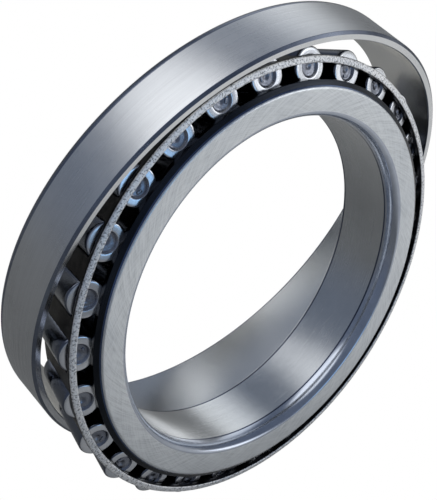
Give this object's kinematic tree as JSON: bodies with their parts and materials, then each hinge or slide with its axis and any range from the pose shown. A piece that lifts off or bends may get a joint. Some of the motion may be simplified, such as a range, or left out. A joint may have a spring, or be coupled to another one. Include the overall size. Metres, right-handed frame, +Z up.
{
  "type": "tapered roller bearing",
  "caption": "Separable single-row tapered roller bearing: outer ring standing on its rim, with the inner ring, cage and tapered rollers resting in its mouth.",
  "frame": {"origin": "centre of the outer ring: on its axis, halfway along its width", "axes": "+Z up; +Y along the outer ring's axis, from its wide mouth towards its back face; +X to the right of someone facing the wide mouth. The outer ring stands on its rim; the cone assembly's own axis is tipped 13.55 degrees up and turned 4.27 degrees from -Y"},
  "size_m": [0.143, 0.0507, 0.143],
  "materials": {
    "outer_ring_steel": "ground, satin, broad soft reflections",
    "inner_ring_steel": "fine ground face with radial grinding marks, polished bore corner, ground bore",
    "cage_steel": "pressed sheet steel, blasted, matte and speckled",
    "roller_steel": "ground and honed, with a dark forged recess in the large end"
  },
  "bodies": {
    "outer_ring": {"outer_ring": "outer_ring_steel"},
    "inner_ring": {"inner_ring": "inner_ring_steel"},
    "cage": {"cage": "cage_steel"},
    "roller_01": {"roller_01": "roller_steel"},
    "roller_02": {"roller_02": "roller_steel"},
    "roller_03": {"roller_03": "roller_steel"},
    "roller_04": {"roller_04": "roller_steel"},
    "roller_05": {"roller_05": "roller_steel"},
    "roller_06": {"roller_06": "roller_steel"},
    "roller_07": {"roller_07": "roller_steel"},
    "roller_08": {"roller_08": "roller_steel"},
    "roller_09": {"roller_09": "roller_steel"},
    "roller_10": {"roller_10": "roller_steel"},
    "roller_11": {"roller_11": "roller_steel"},
    "roller_12": {"roller_12": "roller_steel"},
    "roller_13": {"roller_13": "roller_steel"},
    "roller_14": {"roller_14": "roller_steel"},
    "roller_15": {"roller_15": "roller_steel"},
    "roller_16": {"roller_16": "roller_steel"},
    "roller_17": {"roller_17": "roller_steel"},
    "roller_18": {"roller_18": "roller_steel"},
    "roller_19": {"roller_19": "roller_steel"},
    "roller_20": {"roller_20": "roller_steel"},
    "roller_21": {"roller_21": "roller_steel"},
    "roller_22": {"roller_22": "roller_steel"},
    "roller_23": {"roller_23": "roller_steel"},
    "roller_24": {"roller_24": "roller_steel"},
    "roller_25": {"roller_25": "roller_steel"},
    "roller_26": {"roller_26": "roller_steel"}
  },
  "joints": [
    {"name": "cone_seat", "type": "hinge", "parent": "outer_ring", "child": "inner_ring", "pos_m": [0.00783, -0.02743, 0.03372], "axis": [0.9521, -0.1284, -0.2774], "range_deg": [0, 14.31]},
    {"name": "cage_spin", "type": "hinge", "parent": "inner_ring", "child": "cage", "pos_m": [-0.00271, -0.00997, -0.00499], "axis": [0.0724, -0.9695, 0.2343], "continuous": true},
    {"name": "roller_01_spin", "type": "hinge", "parent": "cage", "child": "roller_01", "pos_m": [0.05738, -0.0035, 0.00474], "axis": [0.3177, -0.91, 0.2665], "continuous": true},
    {"name": "roller_02_spin", "type": "hinge", "parent": "cage", "child": "roller_02", "pos_m": [0.05301, -0.0005, 0.01851], "axis": [0.2997, -0.8976, 0.3233], "continuous": true},
    {"name": "roller_03_spin", "type": "hinge", "parent": "cage", "child": "roller_03", "pos_m": [0.04541, 0.00194, 0.03092], "axis": [0.2683, -0.8876, 0.3745], "continuous": true},
    {"name": "roller_04_spin", "type": "hinge", "parent": "cage", "child": "roller_04", "pos_m": [0.03501, 0.00366, 0.04125], "axis": [0.2255, -0.8805, 0.417], "continuous": true},
    {"name": "roller_05_spin", "type": "hinge", "parent": "cage", "child": "roller_05", "pos_m": [0.02242, 0.00456, 0.0489], "axis": [0.1736, -0.8767, 0.4486], "continuous": true},
    {"name": "roller_06_spin", "type": "hinge", "parent": "cage", "child": "roller_06", "pos_m": [0.00838, 0.00461, 0.05342], "axis": [0.1156, -0.8766, 0.4672], "continuous": true},
    {"name": "roller_07_spin", "type": "hinge", "parent": "cage", "child": "roller_07", "pos_m": [-0.00631, 0.00378, 0.05455], "axis": [0.0551, -0.8799, 0.4719], "continuous": true},
    {"name": "roller_08_spin", "type": "hinge", "parent": "cage", "child": "roller_08", "pos_m": [-0.02079, 0.00214, 0.05222], "axis": [-0.0046, -0.8867, 0.4623], "continuous": true},
    {"name": "roller_09_spin", "type": "hinge", "parent": "cage", "child": "roller_09", "pos_m": [-0.03422, -0.00023, 0.04658], "axis": [-0.06, -0.8965, 0.439], "continuous": true},
    {"name": "roller_10_spin", "type": "hinge", "parent": "cage", "child": "roller_10", "pos_m": [-0.04581, -0.00318, 0.03794], "axis": [-0.1078, -0.9087, 0.4034], "continuous": true},
    {"name": "roller_11_spin", "type": "hinge", "parent": "cage", "child": "roller_11", "pos_m": [-0.0549, -0.00655, 0.02681], "axis": [-0.1453, -0.9225, 0.3575], "continuous": true},
    {"name": "roller_12_spin", "type": "hinge", "parent": "cage", "child": "roller_12", "pos_m": [-0.06095, -0.01013, 0.01384], "axis": [-0.1702, -0.9373, 0.304], "continuous": true},
    {"name": "roller_13_spin", "type": "hinge", "parent": "cage", "child": "roller_13", "pos_m": [-0.06362, -0.01373, -0.00022], "axis": [-0.1812, -0.9522, 0.246], "continuous": true},
    {"name": "roller_14_spin", "type": "hinge", "parent": "cage", "child": "roller_14", "pos_m": [-0.06274, -0.01713, -0.01455], "axis": [-0.1776, -0.9662, 0.1869], "continuous": true},
    {"name": "roller_15_spin", "type": "hinge", "parent": "cage", "child": "roller_15", "pos_m": [-0.05838, -0.02013, -0.02833], "axis": [-0.1596, -0.9786, 0.1301], "continuous": true},
    {"name": "roller_16_spin", "type": "hinge", "parent": "cage", "child": "roller_16", "pos_m": [-0.05077, -0.02256, -0.04074], "axis": [-0.1283, -0.9886, 0.079], "continuous": true},
    {"name": "roller_17_spin", "type": "hinge", "parent": "cage", "child": "roller_17", "pos_m": [-0.04038, -0.02428, -0.05107], "axis": [-0.0854, -0.9957, 0.0364], "continuous": true},
    {"name": "roller_18_spin", "type": "hinge", "parent": "cage", "child": "roller_18", "pos_m": [-0.02779, -0.02519, -0.05871], "axis": [-0.0335, -0.9994, 0.0048], "continuous": true},
    {"name": "roller_19_spin", "type": "hinge", "parent": "cage", "child": "roller_19", "pos_m": [-0.01374, -0.02524, -0.06323], "axis": [0.0244, -0.9996, -0.0138], "continuous": true},
    {"name": "roller_20_spin", "type": "hinge", "parent": "cage", "child": "roller_20", "pos_m": [0.00095, -0.02441, -0.06436], "axis": [0.085, -0.9962, -0.0184], "continuous": true},
    {"name": "roller_21_spin", "type": "hinge", "parent": "cage", "child": "roller_21", "pos_m": [0.01543, -0.02277, -0.06204], "axis": [0.1447, -0.9894, -0.0089], "continuous": true},
    {"name": "roller_22_spin", "type": "hinge", "parent": "cage", "child": "roller_22", "pos_m": [0.02885, -0.0204, -0.05639], "axis": [0.2001, -0.9797, 0.0144], "continuous": true},
    {"name": "roller_23_spin", "type": "hinge", "parent": "cage", "child": "roller_23", "pos_m": [0.04045, -0.01745, -0.04775], "axis": [0.2479, -0.9675, 0.05], "continuous": true},
    {"name": "roller_24_spin", "type": "hinge", "parent": "cage", "child": "roller_24", "pos_m": [0.04953, -0.01408, -0.03662], "axis": [0.2854, -0.9536, 0.0959], "continuous": true},
    {"name": "roller_25_spin", "type": "hinge", "parent": "cage", "child": "roller_25", "pos_m": [0.05559, -0.01049, -0.02365], "axis": [0.3103, -0.9388, 0.1494], "continuous": true},
    {"name": "roller_26_spin", "type": "hinge", "parent": "cage", "child": "roller_26", "pos_m": [0.05825, -0.0069, -0.00959], "axis": [0.3213, -0.924, 0.2074], "continuous": true}
  ],
  "couplings": [
    {"joint": "roller_01_spin", "follows": "cage_spin", "ratio": 10.74},
    {"joint": "roller_02_spin", "follows": "cage_spin", "ratio": 10.74},
    {"joint": "roller_03_spin", "follows": "cage_spin", "ratio": 10.74},
    {"joint": "roller_04_spin", "follows": "cage_spin", "ratio": 10.74},
    {"joint": "roller_05_spin", "follows": "cage_spin", "ratio": 10.74},
    {"joint": "roller_06_spin", "follows": "cage_spin", "ratio": 10.74},
    {"joint": "roller_07_spin", "follows": "cage_spin", "ratio": 10.74},
    {"joint": "roller_08_spin", "follows": "cage_spin", "ratio": 10.74},
    {"joint": "roller_09_spin", "follows": "cage_spin", "ratio": 10.74},
    {"joint": "roller_10_spin", "follows": "cage_spin", "ratio": 10.74},
    {"joint": "roller_11_spin", "follows": "cage_spin", "ratio": 10.74},
    {"joint": "roller_12_spin", "follows": "cage_spin", "ratio": 10.74},
    {"joint": "roller_13_spin", "follows": "cage_spin", "ratio": 10.74},
    {"joint": "roller_14_spin", "follows": "cage_spin", "ratio": 10.74},
    {"joint": "roller_15_spin", "follows": "cage_spin", "ratio": 10.74},
    {"joint": "roller_16_spin", "follows": "cage_spin", "ratio": 10.74},
    {"joint": "roller_17_spin", "follows": "cage_spin", "ratio": 10.74},
    {"joint": "roller_18_spin", "follows": "cage_spin", "ratio": 10.74},
    {"joint": "roller_19_spin", "follows": "cage_spin", "ratio": 10.74},
    {"joint": "roller_20_spin", "follows": "cage_spin", "ratio": 10.74},
    {"joint": "roller_21_spin", "follows": "cage_spin", "ratio": 10.74},
    {"joint": "roller_22_spin", "follows": "cage_spin", "ratio": 10.74},
    {"joint": "roller_23_spin", "follows": "cage_spin", "ratio": 10.74},
    {"joint": "roller_24_spin", "follows": "cage_spin", "ratio": 10.74},
    {"joint": "roller_25_spin", "follows": "cage_spin", "ratio": 10.74},
    {"joint": "roller_26_spin", "follows": "cage_spin", "ratio": 10.74}
  ]
}
